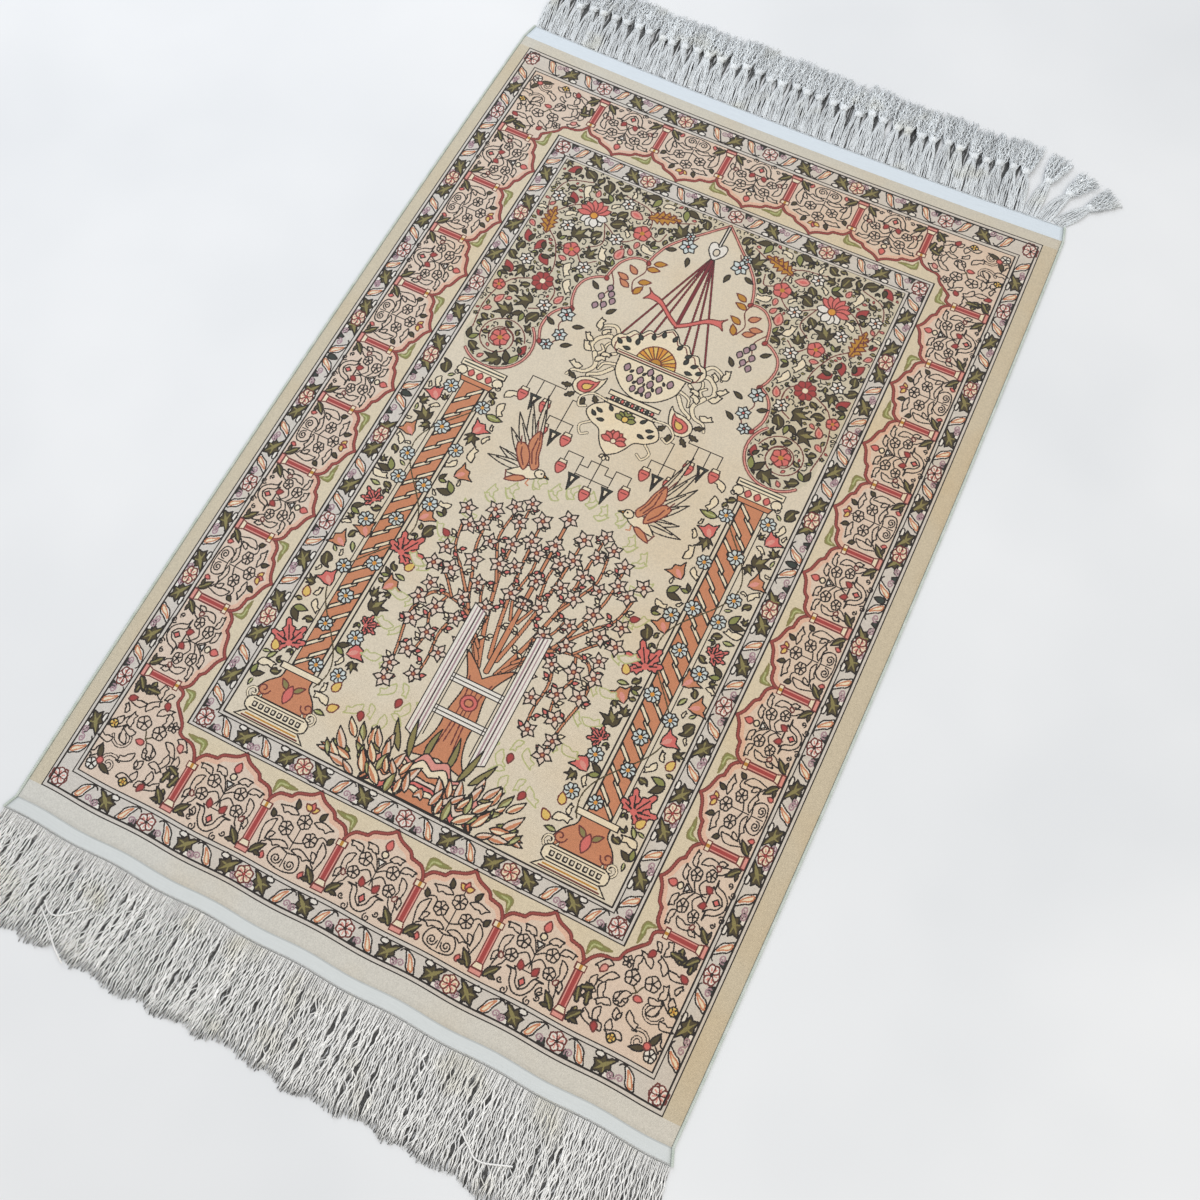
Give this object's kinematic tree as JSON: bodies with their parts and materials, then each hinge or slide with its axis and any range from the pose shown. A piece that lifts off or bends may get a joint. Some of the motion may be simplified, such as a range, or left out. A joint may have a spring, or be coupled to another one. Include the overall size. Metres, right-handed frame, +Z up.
{
  "type": "hereke rug",
  "caption": "Small knotted silk prayer rug lying flat: a bordered pile field with flat-woven ends, overcast side cords, a knotted tassel fringe and a loose warp fringe.",
  "frame": {"origin": "on the surface under the middle of the whole rug, fringes included", "axes": "+Y along the warps towards the niche end, +X to the right with the niche at the top, +Z up off the surface"},
  "size_m": [0.6418, 1.105, 0.0064],
  "materials": {
    "silk_pile": "short knotted silk pile with a soft sheen",
    "side_cord": "tightly overcast silk",
    "warp_fringe": "loose twisted silk warps"
  },
  "bodies": {
    "root": {"rug_body": "silk_pile", "selvedge_left": "side_cord", "selvedge_right": "side_cord", "fringe_top": "warp_fringe", "fringe_bottom": "warp_fringe"}
  },
  "joints": []
}
